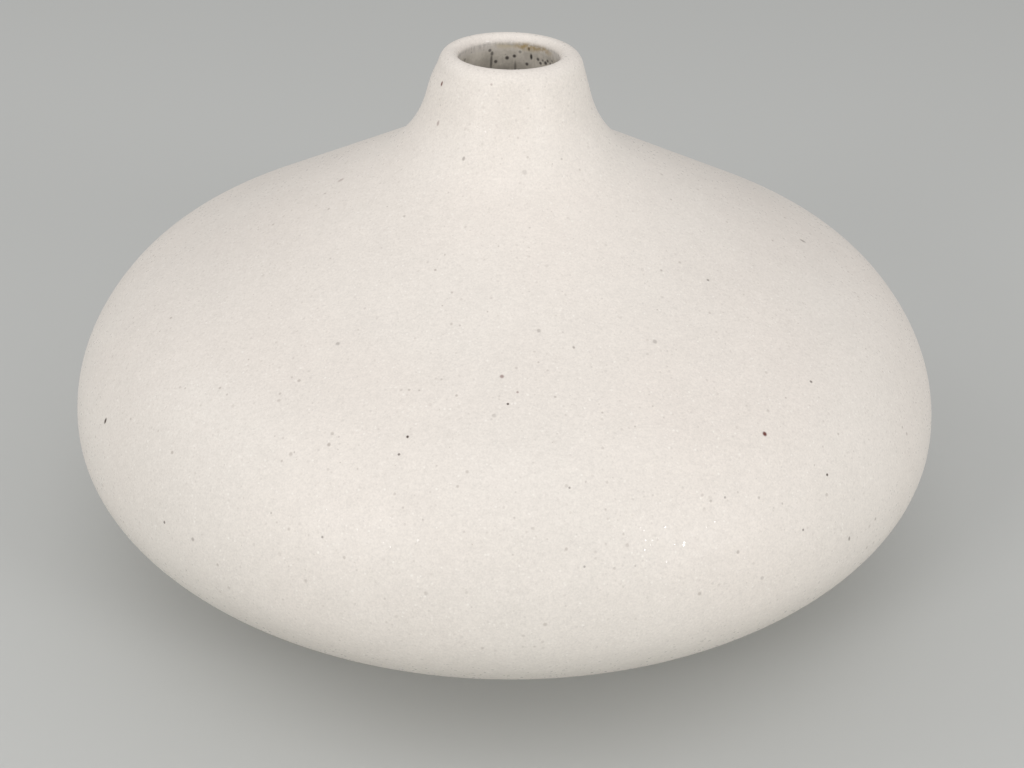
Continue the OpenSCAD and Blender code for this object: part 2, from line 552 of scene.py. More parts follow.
class Wire:
    """A value on its way through a material. Arithmetic on it adds Math nodes."""

    __add__ = __radd__ = math_node("ADD")
    __sub__ = math_node("SUBTRACT")
    __rsub__ = math_node("SUBTRACT", turned=True)
    __mul__ = __rmul__ = math_node("MULTIPLY")
    at_least = math_node("MAXIMUM")

    def __init__(self, bench: "Bench", socket: bpy.types.NodeSocket | None) -> None:
        """Keeps the node tree's bench and the socket that the value comes from, which a last node lacks."""
        self.bench = bench
        self.socket = socket

    def over(self, low: "Wire | float", high: "Wire | float") -> "Wire":
        """Eases from 0 at low to 1 at high; where low is the larger, it falls from 1 to 0."""
        ends = {"Value": self, "From Min": low, "From Max": high}
        return self.bench.node("ShaderNodeMapRange", {"interpolation_type": "SMOOTHSTEP"}, ends)

    def beside(self, output: str) -> "Wire":
        """Gives another output of the node that the value comes from."""
        return Wire(self.bench, self.socket.node.outputs[output])


def strongest(*wires: Wire) -> Wire:
    """Gives the largest of some values."""
    return reduce(Wire.at_least, wires)


class Bench:
    """The node tree of a material or a world, and the one method that adds nodes to it."""

    def __init__(self, owner: bpy.types.Material | bpy.types.World) -> None:
        """Empties the node tree.

        Args:
            owner: The material or world that it belongs to.
        """
        self.owner = owner
        self.owner.use_nodes = True
        self.tree = self.owner.node_tree
        self.tree.nodes.clear()

    def node(
        self,
        kind: str,
        settings: Mapping[str, Any] | None = None,
        inputs: Mapping[str | int, Any] | None = None,
        output: str | int | None = 0,
    ) -> Wire:
        """Adds a node.

        Args:
            kind: Its type.
            settings: Its settings, which are set first.
            inputs: Values or wires for its sockets, by name or number.
            output: The socket that the wire comes from, or None for a node that has none.

        Returns:
            The wire from that socket.
        """
        made = self.tree.nodes.new(kind)
        for key, value in (settings or {}).items():
            setattr(made, key, value)
        for key, value in (inputs or {}).items():
            socket = made.inputs[key]
            if isinstance(value, Wire):
                self.tree.links.new(value.socket, socket)
            elif isinstance(value, tuple) and len(socket.default_value) == 4:
                socket.default_value = (*value, 1.0)
            else:
                socket.default_value = value
        return Wire(self, None if output is None else made.outputs[output])

    def vector(self, operation: str, inputs: Mapping[str | int, Any], output: str | int = 0) -> Wire:
        """Adds a Vector Math node. Its numbers come from the output named Value."""
        return self.node("ShaderNodeVectorMath", {"operation": operation}, inputs, output)

    def scaled(self, vector: Wire, factor: Wire | float) -> Wire:
        """Multiplies a vector or a colour by a number."""
        return self.vector("SCALE", {0: vector, "Scale": factor})

    def stretched(self, factors: Colour) -> Wire:
        """Gives the place, multiplied part by part."""
        return self.vector("MULTIPLY", {0: self.spot, 1: factors})

    @cached_property
    def spot(self) -> Wire:
        """The place on the piece, in millimetres."""
        return self.scaled(self.node("ShaderNodeTexCoord", output="Object"), 1 / MM)

    @cached_property
    def level(self) -> Wire:
        """The level vector from the axis to the place."""
        return self.stretched((1.0, 1.0, 0.0))

    @cached_property
    def around(self) -> Wire:
        """The level unit vector from the axis to the place."""
        return self.vector("NORMALIZE", {0: self.level})

    def part(self, axis: str) -> Wire:
        """Gives one part of the place: X, Y or Z."""
        return self.node("ShaderNodeSeparateXYZ", None, {"Vector": self.spot}, axis)

    def attribute(self, name: str) -> Wire:
        """Reads one of the mesh's point attributes."""
        return self.node("ShaderNodeAttribute", {"attribute_name": name}, output="Fac")

    def blend(self, factor: Wire | float, first: Wire | Colour, second: Wire | Colour) -> Wire:
        """Mixes two colours. A Mix node numbers its colour sockets 6 and 7, and its colour output 2."""
        inputs = {0: factor, 6: first, 7: second}
        return self.node("ShaderNodeMix", {"data_type": "RGBA"}, inputs, 2)

    def layered(self, body: Wire, *coats: tuple[Wire | float, Colour]) -> Wire:
        """Lays colours over another, each by its own mask, in their order."""
        return reduce(lambda under, coat: self.blend(coat[0], under, coat[1]), coats, body)

    def bump(self, height: Wire) -> Wire:
        """Raises the surface by a height in millimetres."""
        inputs = {"Height": height, "Distance": MM, "Strength": 1.0}
        return self.node("ShaderNodeBump", None, inputs, "Normal")

    def seen(self) -> Wire:
        """Gives 1 where the surface is looked at, straight, in a gloss or through glass, and 0 elsewhere."""
        names = ("Is Camera Ray", "Is Glossy Ray", "Is Transmission Ray")
        return strongest(*(self.node("ShaderNodeLightPath", output=name) for name in names))

    def surface(self, inputs: Mapping[str, Any]) -> bpy.types.Material:
        """Closes the material with a Principled shader.

        Args:
            inputs: Values or wires for the shader's sockets, by name.

        Returns:
            The material.
        """
        shader = self.node("ShaderNodeBsdfPrincipled", None, inputs)
        self.node("ShaderNodeOutputMaterial", None, {"Surface": shader}, None)
        return self.owner


# What the finishes are mixed from, in millimetres


@dataclass(frozen=True)
class Fleck:
    """An iron fleck at a chosen azimuth, in degrees, and height."""

    azimuth: float
    height: float
    radius: float
    dark: float
    tall: float = 1.0
    fade: Span = (1.2, 0.4)
    step: float = 0.5

    def mask(self, bench: Bench, radius_at: Callable[[float], float]) -> Wire:
        """Draws the fleck on the surface.

        The place is first moved out or in to the surface's own radius, so that the pot's unevenness
        doesn't shrink the fleck. Heights are divided by how steep the surface is, found over a short
        step, so that a fleck on the flank isn't drawn out. Then the distance from its middle fades it.

        Args:
            bench: The material's node tree.
            radius_at: Gives the surface's radius at a height, both in metres.

        Returns:
            Its darkness in its middle, 0 away from it.
        """
        heights = (self.height - self.step, self.height, self.height + self.step)
        below, here, above = (radius_at(height * MM) / MM for height in heights)
        drawn_out = self.tall * (2 * self.step / math.hypot(2 * self.step, above - below))
        upright = bench.stretched((0.0, 0.0, 1 / drawn_out))
        place = bench.vector("MULTIPLY_ADD", {0: bench.around, 1: (here, here, 0.0), 2: upright})
        middle = (*(heading(self.azimuth) * here), self.height / drawn_out)
        away = bench.vector("DISTANCE", {0: place, 1: middle}, "Value")
        return away.over(self.radius * self.fade[0], self.radius * self.fade[1]) * self.dark


def fleck_mask(bench: Bench, flecks: Sequence[Fleck], radius_at: Callable[[float], float]) -> Wire:
    """Draws chosen flecks on a surface, given by its radius at a height, and keeps the darkest."""
    return strongest(*(fleck.mask(bench, radius_at) for fleck in flecks))


@dataclass(frozen=True)
class Grain:
    """One scale of unevenness: the size of its features, its strength and its detail."""

    size: float
    strength: float = 1.0
    detail: float = 1.0
    stretch: Colour = (1.0, 1.0, 1.0)

    def wire(self, bench: Bench) -> Wire:
        """Gives cloudy noise that lies about zero, times the strength."""
        inputs = {"Vector": bench.stretched(self.stretch), "Scale": 1 / self.size, "Detail": self.detail}
        return (bench.node("ShaderNodeTexNoise", None, inputs) - NOISE_MIDDLE) * self.strength


@dataclass(frozen=True)
class Dots:
    """A scatter of round dots.

    One point lies in each cell of a Voronoi texture. The cell's own random colour says whether it is a
    dot, how large it is and how strong. The share is that of the cells.
    """

    pitch: float
    small: float
    large: float
    share: float
    strength: float = 1.0
    weakest: float = 1.0
    core: float = 0.35
    cut: float = 0.02

    def wire(self, bench: Bench) -> Wire:
        """Scatters the dots.

        Args:
            bench: The material's node tree.

        Returns:
            The strength in the middle of a dot, and 0 past its edge.
        """
        inputs = {"Vector": bench.spot, "Scale": 1 / self.pitch}
        away = bench.node("ShaderNodeTexVoronoi", None, inputs, "Distance")
        red = bench.node("ShaderNodeSeparateColor", None, {"Color": away.beside("Color")}, "Red")
        green = red.beside("Green")
        radius = self.small + green * green * (self.large - self.small)
        strong = self.strength * (self.weakest + red.beside("Blue") * (1 - self.weakest))
        chosen = red.over(self.share, self.share - self.cut)
        return (away * self.pitch).over(radius, radius * self.core) * chosen * strong


@dataclass(frozen=True)
class ToolRings:
    """Fine rings about the axis, as a turning tool or a brush leaves them."""

    pitch: float
    wander: float
    detail_size: float
    strength: float
    pitch_at_one: ClassVar[float] = math.pi / 10

    def wire(self, bench: Bench) -> Wire:
        """Draws the rings. At a scale of one, a wave texture's rings lie pitch_at_one apart.

        Args:
            bench: The material's node tree.

        Returns:
            0 in the grooves, and the strength on the crests.
        """
        settings = {"wave_type": "RINGS", "rings_direction": "Z"}
        inputs = {"Vector": bench.spot, "Scale": self.pitch_at_one / self.pitch}
        inputs |= {"Distortion": self.wander, "Detail Scale": self.detail_size}
        return bench.node("ShaderNodeTexWave", settings, inputs, "Fac") * self.strength


@dataclass(frozen=True)
class SideTint:
    """A stain on one side: its azimuth, and the cosines between which it grows to full."""

    colour: Colour
    share: float
    azimuth: float
    span: Span

    def side(self, bench: Bench) -> Wire:
        """Gives 1 on the stain's side of the vase and 0 away from it."""
        facing = {0: bench.around, 1: (*heading(self.azimuth), 0.0)}
        return bench.vector("DOT_PRODUCT", facing, "Value").over(*self.span)


@dataclass(frozen=True)
class MouthStain:
    """How a glaze discolours where the two coats meet in the mouth.

    The other coat's colour shows through in upright streaks, toasted most on one side, and iron has
    stained it ochre on another, with a paler haze beside. A reach is the pair of distances from the
    meeting line between which a stain grows to full, and a span is a pair of thresholds of noise.
    """

    other: Colour
    other_reach: Span
    toasted: SideTint
    toasted_reach: Span
    ochre_reach: Span
    other_share: float = 0.9
    toasted_least: float = 0.15
    tints: tuple[SideTint, ...] = (
        SideTint((0.60, 0.51, 0.34), 0.65, 72.0, (0.72, 0.93)),
        SideTint((0.43, 0.29, 0.105), 0.92, 61.0, (0.88, 0.985)),
    )
    streak: Grain = Grain(0.75, 1.0, 3.0, (1.0, 1.0, 0.18))
    streak_span: Span = (-0.16, 0.14)
    patch: Grain = Grain(2.4, 1.0, 3.0)
    patch_span: Span = (-0.2, 0.1)

    def over_body(self, bench: Bench, mouth: Wire, body: Wire) -> Wire:
        """Lays the stains over a glaze's colour.

        Args:
            bench: The material's node tree.
            mouth: Distance from the meeting line.
            body: The glaze's colour.

        Returns:
            The stained colour.
        """
        streaks = self.streak.wire(bench).over(*self.streak_span)
        through = (mouth - streaks * (self.other_reach[0] / 2)).over(*self.other_reach)
        toasted = self.toasted_least + self.toasted.side(bench) * (self.toasted.share - self.toasted_least)
        stained = mouth.over(*self.ochre_reach) * self.patch.wire(bench).over(*self.patch_span)
        return bench.layered(
            body,
            (through * self.other_share, self.other),
            (mouth.over(*self.toasted_reach) * streaks * toasted, self.toasted.colour),
            *((stained * tint.side(bench) * tint.share, tint.colour) for tint in self.tints),
        )


# Finishes


@dataclass(frozen=True)
class WhiteGlaze:
    """Matte white glaze: faintly clouded, grained, with iron flecks and small glossy beads and pits."""

    warm: Colour = (0.833, 0.768, 0.707)
    cool: Colour = (0.824, 0.768, 0.709)
    iron: Colour = (0.070, 0.045, 0.034)
    rust: Colour = (0.15, 0.040, 0.030)
    pale_iron: Colour = (0.36, 0.31, 0.27)
    bright: Colour = (0.91, 0.86, 0.80)
    thin_edge: Colour = (0.52, 0.43, 0.33)
    cloud: Grain = Grain(52.0, 1.0, 2.0)
    cloud_span: Span = (-0.20, 0.22)
    tone: float = 0.966
    grains: tuple[Grain, ...] = (
        Grain(0.45, 0.195), Grain(0.8, 0.150), Grain(2.1, 0.068),
        Grain(8.0, 0.062, 2.0), Grain(27.0, 0.055),
    )
    # Rings of painted shade near the lower edge, standing in for faint throwing lines.
    rings: Grain = Grain(1.0, 0.045, 2.0, (0.03, 0.03, 1.3))
    throwing_line_shade_span: Span = (75.0, 30.0)
    # A whiter band from the neck's root up: partly pooled glaze, partly a painted highlight on the sweep.
    pooled_glaze_and_sheen_span: Span = (100.0, 124.0)
    pooled_glaze_and_sheen_share: float = 0.035
    strong: Dots = Dots(6.2, 0.26, 0.62, 0.5, 1.0, 0.45)
    far_side: Span = (-5.0, 10.0)
    faint: Dots = Dots(1.7, 0.26, 0.55, 0.5, 0.22, 0.3)
    plain: Dots = Dots(2.3, 0.32, 0.70, 0.50, 0.60, 0.12)
    pale: Dots = Dots(1.1, 0.18, 0.46, 0.6, 1.0, 0.2)
    pinholes: Dots = Dots(1.4, 0.08, 0.20, 0.13, 0.45)
    broad: Dots = Dots(5.5, 0.40, 0.80, 0.4, 0.12)
    crowd: Grain = Grain(17.0)
    crowd_span: Span = (-0.14, 0.10)
    edge_span: Span = (1.1, 0.1)
    edge_share: float = 0.75
    stain: MouthStain = MouthStain(
        other=(0.60, 0.575, 0.535),
        other_reach=(2.1, 0.5),
        toasted=SideTint((0.50, 0.44, 0.39), 0.45, 150.0, (0.2, 0.95)),
        toasted_reach=(2.2, 0.8),
        ochre_reach=(3.0, 1.1),
    )
    roughness: float = 0.48
    rough_peel: float = 0.24
    beads: Dots = Dots(1.4, 0.16, 0.58, 0.8, 0.37, core=0.6)
    domes: Dots = Dots(1.4, 0.16, 0.58, 0.8, 0.032, 0.5, core=0.0)
    pits: Dots = Dots(2.9, 0.12, 0.30, 0.5, 0.04)
    peel: Grain = Grain(2.2, 1.0, 2.0)
    peel_rise: float = 0.05
    fine: Grain = Grain(0.7, 0.014)
    flecks: tuple[Fleck, ...] = (
        Fleck(-150.5, 70.0, 0.66, 1.00, 1.45), Fleck(-103.0, 90.5, 0.38, 1.00, 1.1),
        Fleck(-103.5, 88.0, 0.38, 0.78), Fleck(-89.5, 95.5, 0.36, 1.00),
        Fleck(-77.5, 102.5, 0.36, 0.37, 1.5), Fleck(-47.5, 74.5, 0.40, 1.00),
        Fleck(-46.0, 57.5, 0.46, 0.62, 1.5), Fleck(-53.5, 66.0, 0.36, 0.75),
        Fleck(-132.5, 60.5, 0.44, 0.78), Fleck(-127.5, 60.5, 0.58, 0.42),
        Fleck(-110.5, 71.5, 0.34, 0.58), Fleck(-41.0, 89.5, 0.46, 0.75),
        Fleck(-1.0, 98.5, 0.75, 0.50, 1.6), Fleck(-62.0, 101.5, 0.70, 0.33),
        Fleck(-120.5, 100.0, 0.64, 0.37), Fleck(-40.5, 106.5, 0.48, 0.55),
        Fleck(-115.5, 131.0, 0.46, 0.46, 1.5), Fleck(-63.0, 78.0, 0.36, 0.50),
        Fleck(-82.0, 84.0, 0.30, 0.58), Fleck(-81.0, 69.5, 0.33, 0.48),
        Fleck(-91.5, 94.0, 0.62, 0.24), Fleck(-83.5, 105.0, 0.62, 0.32),
        Fleck(-60.0, 58.5, 0.60, 0.25), Fleck(-81.5, 129.0, 0.80, 0.19),
    )
    rusty_flecks: tuple[Fleck, ...] = (
        Fleck(-54.0, 86.0, 0.66, 1.00, 1.1), Fleck(-90.5, 99.0, 0.60, 0.62),
        Fleck(-88.0, 97.0, 0.36, 0.56), Fleck(-142.0, 137.0, 0.55, 0.40, 1.6),
        Fleck(-149.5, 146.5, 0.45, 0.95, 1.7), Fleck(-103.5, 149.5, 0.36, 0.36),
        Fleck(-170.5, 117.5, 0.80, 0.32, 1.5),
    )

    def body(self, bench: Bench, edge: Wire) -> Wire:
        """Mixes the coat's tone: warm and cool clouds, grain at five sizes, rings of painted shade near its
        lower edge for faint throwing lines, and a whiter band at the neck's root that is partly pooled glaze and
        partly a painted highlight.

        Args:
            bench: The material's node tree.
            edge: Distance from the coat's lower edge.

        Returns:
            The colour.
        """
        cloud = self.cloud.wire(bench).over(*self.cloud_span)
        # Whiter above the neck's root: pooled glaze, and a painted highlight on the sweep.
        tone = self.tone + bench.part("Z").over(*self.pooled_glaze_and_sheen_span) * self.pooled_glaze_and_sheen_share
        for grain in self.grains:
            tone = tone + grain.wire(bench)
        # Painted shade of faint throwing lines, in rings near the coat's lower edge.
        tone = tone + self.rings.wire(bench) * edge.over(*self.throwing_line_shade_span)
        return bench.scaled(bench.blend(cloud, self.warm, self.cool), tone)

    def inputs(self, bench: Bench, form: VaseForm) -> dict[str, Any]:
        """Mixes the glaze.

        The strong scattered flecks keep to the far side, because the near one has chosen ones. The coat
        thins to the clay's colour along its lower edge, and is stained where it meets the liner. The
        glossy beads, their domes and the pinholes in them lie at the same points.

        Args:
            bench: The material's node tree.
            form: The vase's sizes.

        Returns:
            What feeds the shader.
        """
        edge, mouth = bench.attribute("edge_mm"), bench.attribute("mouth_mm")
        plain = self.plain.wire(bench) * self.crowd.wire(bench).over(*self.crowd_span)
        soft = strongest(self.faint.wire(bench), self.broad.wire(bench), plain, self.pinholes.wire(bench))
        far = self.strong.wire(bench) * bench.part("Y").over(*self.far_side)
        body = bench.layered(
            self.body(bench, edge),
            (self.pale.wire(bench), self.bright),
            (soft, self.pale_iron),
            (far.at_least(fleck_mask(bench, self.flecks, form.outside_radius)), self.iron),
            (fleck_mask(bench, self.rusty_flecks, form.outside_radius), self.rust),
            (edge.over(*self.edge_span) * self.edge_share, self.thin_edge),
        )
        peel = self.peel.wire(bench)
        relief = peel * self.peel_rise + self.fine.wire(bench) + self.domes.wire(bench)
        relief = relief - self.pits.wire(bench)
        return {
            "Base Color": self.stain.over_body(bench, mouth, body),
            "Roughness": self.roughness + peel * self.rough_peel - self.beads.wire(bench),
            "Normal": bench.bump(relief),
        }


@dataclass(frozen=True)
class GreyLiner:
    """Semi-matte pale grey glaze in the hollow, with dark dots, runs and a stained upper edge."""

    grey: Colour = (0.71, 0.655, 0.575)
    deep_grey: Colour = (0.52, 0.475, 0.41)
    iron: Colour = (0.050, 0.042, 0.038)
    cloud: Grain = Grain(5.0, 1.0, 4.0)
    cloud_span: Span = (-0.15, 0.18)
    grain: Grain = Grain(0.7, 0.30, 2.0)
    runs: Grain = Grain(0.8, 1.0, 2.0, (1.0, 1.0, 0.12))
    runs_span: Span = (0.04, 0.22)
    runs_share: float = 0.45
    stain: MouthStain = MouthStain(
        other=(0.79, 0.74, 0.685),
        other_reach=(1.5, -0.8),
        toasted=SideTint((0.42, 0.37, 0.33), 0.45, 150.0, (0.2, 0.95)),
        toasted_reach=(2.4, -0.4),
        ochre_reach=(1.5, -0.2),
        other_share=0.85,
    )
    scattered: Dots = Dots(3.4, 0.25, 0.80, 0.5, 0.8, 0.4)
    scattered_span: Span = (7.0, 9.0)
    fine: Dots = Dots(1.6, 0.12, 0.32, 0.5, 0.4, 0.3)
    roughness: float = 0.42
    rough_cloud: float = 0.2
    cloud_rise: float = 0.05
    pits: Dots = Dots(2.4, 0.1, 0.3, 0.4, 0.03)
    flecks: tuple[Fleck, ...] = (
        Fleck(105.5, 144.7, 0.60, 0.85), Fleck(93.0, 145.7, 0.66, 0.90),
        Fleck(85.0, 146.3, 0.58, 0.90), Fleck(78.5, 147.7, 0.50, 0.50),
        Fleck(65.5, 146.6, 0.46, 0.95, 2.2), Fleck(68.0, 148.8, 0.34, 0.70, 2.0),
        Fleck(71.0, 144.2, 0.56, 0.85), Fleck(57.0, 146.2, 0.56, 0.80),
        Fleck(54.0, 145.2, 0.56, 0.85), Fleck(50.5, 146.2, 0.45, 0.60),
        Fleck(46.5, 145.7, 0.66, 0.90), Fleck(43.0, 146.5, 0.56, 0.80),
        Fleck(39.0, 146.0, 0.45, 0.65), Fleck(35.0, 147.0, 0.40, 0.60),
        Fleck(148.5, 147.2, 0.50, 0.50), Fleck(113.0, 148.2, 0.56, 0.75),
        Fleck(110.2, 147.2, 0.50, 0.70, 1.6), Fleck(110.5, 144.8, 0.44, 0.66, 6.0),
        Fleck(84.0, 143.0, 0.42, 0.50, 5.0),
    )

    def inputs(self, bench: Bench, form: VaseForm) -> dict[str, Any]:
        """Mixes the glaze. Its scattered dots begin below the chosen ones, which the mouth shows.

        Args:
            bench: The material's node tree.
            form: The vase's sizes.

        Returns:
            What feeds the shader.
        """
        mouth = bench.attribute("mouth_mm")
        cloud, grain = self.cloud.wire(bench), self.grain.wire(bench)
        runs = self.runs.wire(bench).over(*self.runs_span) * self.runs_share
        body = bench.scaled(bench.blend(cloud.over(*self.cloud_span), self.grey, self.deep_grey), 1 + grain)
        body = self.stain.over_body(bench, mouth, bench.blend(runs, body, self.deep_grey))
        dark = strongest(
            self.scattered.wire(bench) * mouth.over(*self.scattered_span),
            self.fine.wire(bench),
            fleck_mask(bench, self.flecks, form.throat_radius),
        )
        relief = cloud * self.cloud_rise + grain * self.cloud_rise - self.pits.wire(bench)
        return {
            "Base Color": bench.blend(dark, body, self.iron),
            "Roughness": self.roughness + cloud * self.rough_cloud,
            "Normal": bench.bump(relief),
        }


@dataclass(frozen=True)
class BareStoneware:
    """Bare fired stoneware: buff and gritty, toasted near the glaze and rubbed where it stands."""

    buff: Colour = (0.52, 0.43, 0.33)
    toasted: Colour = (0.40, 0.27, 0.17)
    rubbed: Colour = (0.58, 0.51, 0.42)
    grit: Colour = (0.16, 0.11, 0.08)
    chalk: Colour = (0.70, 0.64, 0.55)
    cloud: Grain = Grain(7.0, 1.0, 4.0)
    cloud_span: Span = (-0.15, 0.20)
    tone: float = 0.99
    grain: Grain = Grain(0.45, 0.22, 3.0)
    glaze_span: Span = (-2.0, 0.6)
    glaze_share: float = 0.6
    rubbed_span: Span = (0.45, 0.05)
    rubbed_cloud: Span = (-0.25, 0.10)
    rubbed_share: float = 0.7
    grit_dots: Dots = Dots(1.6, 0.14, 0.42, 0.55, 0.85, 0.4)
    chalk_dots: Dots = Dots(2.3, 0.15, 0.45, 0.45, 0.7, 0.4)
    rings: ToolRings = ToolRings(0.35, 0.6, 0.5, 0.02)
    grain_rise: float = 0.22
    roughness: float = 0.86
    ior: float = 1.45

    def inputs(self, bench: Bench, form: VaseForm) -> dict[str, Any]:
        """Mixes the clay.

        Args:
            bench: The material's node tree.
            form: The vase's sizes, which say where the glaze begins.

        Returns:
            What feeds the shader.
        """
        radius = bench.vector("LENGTH", {0: bench.level}, "Value")
        cloud, grain = self.cloud.wire(bench), self.grain.wire(bench)
        near_glaze = (radius - (form.foot_r + form.bare_band) / MM).over(*self.glaze_span)
        worn = bench.part("Z").over(*self.rubbed_span) * cloud.over(*self.rubbed_cloud)
        body = bench.blend(cloud.over(*self.cloud_span), self.buff, self.toasted)
        body = bench.layered(
            bench.scaled(body, self.tone + grain),
            (near_glaze * self.glaze_share, self.toasted),
            (worn * self.rubbed_share, self.rubbed),
            (self.grit_dots.wire(bench), self.grit),
            (self.chalk_dots.wire(bench), self.chalk),
        )
        relief = bench.bump(grain * self.grain_rise + self.rings.wire(bench))
        return {"Base Color": body, "Roughness": self.roughness, "Normal": relief, "IOR": self.ior}


@dataclass(frozen=True)
class FootWellGlaze:
    """Thin off-white glaze brushed into the well of the foot, with the clay's rings showing through."""

    white: Colour = (0.74, 0.70, 0.64)
    thin: Colour = (0.56, 0.48, 0.39)
    iron: Colour = (0.13, 0.09, 0.07)
    cloud: Grain = Grain(9.0, 1.0, 4.0)
    cloud_span: Span = (-0.5, 0.5)
    grain: Grain = Grain(0.8, 0.10, 2.0)
    rings: ToolRings = ToolRings(2.6, 3.0, 0.25, 0.5)
    rings_rise: float = 0.05
    edge_span: Span = (1.6, 0.1)
    edge_share: float = 0.7
    iron_dots: Dots = Dots(3.4, 0.15, 0.42, 0.5, 0.7, 0.4)
    cloud_rise: float = 0.05
    grain_rise: float = 0.10
    roughness: float = 0.5
    rough_cloud: float = 0.2

    def inputs(self, bench: Bench, form: VaseForm) -> dict[str, Any]:
        """Mixes the glaze.

        Args:
            bench: The material's node tree.
            form: The vase's sizes, for which this glaze has no use.

        Returns:
            What feeds the shader.
        """
        cloud, grain, rings = (part.wire(bench) for part in (self.cloud, self.grain, self.rings))
        body = bench.layered(
            bench.scaled(bench.blend(rings * cloud.over(*self.cloud_span), self.white, self.thin), 1 + grain),
            (bench.attribute("edge_mm").over(*self.edge_span) * self.edge_share, self.thin),
            (self.iron_dots.wire(bench), self.iron),
        )
        relief = cloud * self.cloud_rise + rings * self.rings_rise + grain * self.grain_rise
        roughness = self.roughness + cloud * self.rough_cloud
        return {"Base Color": body, "Roughness": roughness, "Normal": bench.bump(relief)}


Finish = WhiteGlaze | GreyLiner | BareStoneware | FootWellGlaze


# The vase's four skins


@dataclass
class VaseSkin:
    """What the four skins share: the vase's sizes, the thrower's hand and the columns round the axis."""

    piece_name: ClassVar[str]
    node_name: ClassVar[str]
    slot_name: ClassVar[str]
    finish: ClassVar[Finish]
    edge_ripple: ClassVar[Ripple] = Ripple(seed=0, waves=6, most_round=11, longest=1.0, shortest=0.9)
    form: VaseForm
    hand: ThrowersHand = field(default_factory=ThrowersHand)
    columns: int = 288

    @property
    def angle(self) -> np.ndarray:
        """Angles of the columns, in radians, as one row."""
        return np.linspace(0.0, FULL_TURN, self.columns, endpoint=False)[None, :]

    def wave(self, seed: int, size: float) -> np.ndarray:
        """Gives a coat's wavy edge: how far it is drawn back at each column, from 0 to size."""
        return size * replace(self.edge_ripple, seed=seed).field(self.angle, np.zeros((1, 1)))

    def rows(self, pitch: RowPitch, track: Track) -> np.ndarray:
        """Lays rows along a track, each level all round, as (rows, columns)."""
        return pitch.rows(track.length)[:, None] + np.zeros_like(self.angle)

    def surface(self) -> TurnedSurface:
        """Works out the skin's turned surface."""
        raise NotImplementedError

    def turned(self, closing: Closing, *faces: np.ndarray, **layers: Sequence[np.ndarray]) -> TurnedSurface:
        """Joins a skin's faces into one section and lets the hand shape it.

        Args:
            closing: How the section closes.
            faces: The points of its faces, in the order in which the section runs.
            layers: Distances in metres that go with the faces' points, by the attribute's name.

        Returns:
            The surface, with its layers in millimetres.
        """
        section = self.hand.shape(self.form, self.angle, np.concatenate(faces))
        values = {key: np.concatenate(parts) / MM for key, parts in layers.items()}
        return TurnedSurface(section, self.angle, closing, values)

    def build(self) -> bpy.types.Object:
        """Makes the skin's object, dresses it and puts it in the place of its node.

        Returns:
            The object.
        """
        piece = placed(self.piece_name, self.surface().mesh(self.piece_name))
        bench = Bench(bpy.data.materials.new(self.slot_name))
        piece.data.materials.append(bench.surface(self.finish.inputs(bench, self.form)))
        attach(piece, BODY)
        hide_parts(self.node_name)
        log.info("%s: %d faces", piece.name, len(piece.data.polygons))
        return piece


@dataclass
class WhiteCoat(VaseSkin):
    """The white glaze outside, from its wavy edge above the foot, over the lip, into the mouth."""

    piece_name = "white_glaze_coat"
    node_name = "outer_glaze"
    slot_name = "white_glaze"
    finish = WhiteGlaze()
    edge_wave: float = 1.3 * MM
    edge_seed: int = 3
    mouth_wave: float = 0.5 * MM
    mouth_seed: int = 8
    edge_round: float = 1.4 * MM
    mouth_thin: float = 2.8 * MM
    mouth_run: float = 1.4 * MM
    sink: float = 0.04 * MM
    relief: float = 0.07 * MM
    pitch: RowPitch = RowPitch(1.35, 0.16, 0.3, 5.0, 24.0)
    back_pitch: RowPitch = RowPitch(4.5, 0.8, 0.8, 12.0, 30.0)
    sag: Ripple = Ripple(seed=5, waves=26, most_round=60, longest=0.03, shortest=0.009)

    def surface(self) -> TurnedSurface:
        """Works out the coat.

        The outer face lies below the section's curve by what the coat lacks in thickness. With u the
        share of an edge's width that is behind, the thickness is full times sqrt(1 - (1 - u)^2) at the
        foot, a quarter round, and full times 1 - (1 - u)^2 in the mouth, where the coat runs on a little
        and thins out over the liner. It sags in a ripple a few hundredths of a millimetre deep. The
        inner face lies on the clay.

        Returns:
            The surface.
        """
        thickness = self.form.glaze_t + self.sink
        track = Track(self.form.outside(0.0, self.form.glaze_lap + self.mouth_run))
        first = self.wave(self.edge_seed, self.edge_wave)
        last = track.length - self.wave(self.mouth_seed, self.mouth_wave)
        rows = (self.pitch.rows(track.length), self.back_pitch.rows(track.length)[1:-1][::-1])
        along, behind = (first + (last - first) * row[:, None] / track.length for row in rows)
        thinned = 1 - np.clip((last - along) / self.mouth_thin, 0.0, 1.0)
        full = rounded((along - first) / self.edge_round) * (1 - thinned**2)
        sagging = self.relief * self.sag.field(self.angle, along) * full
        return self.turned(
            Closing.LOOP,
            track.offset(along, np.minimum(thickness * (1 - full) + sagging, thickness)),
            track.offset(behind, thickness),
            edge_mm=[along - first, behind - first],
            mouth_mm=[last - along, last - behind],
        )


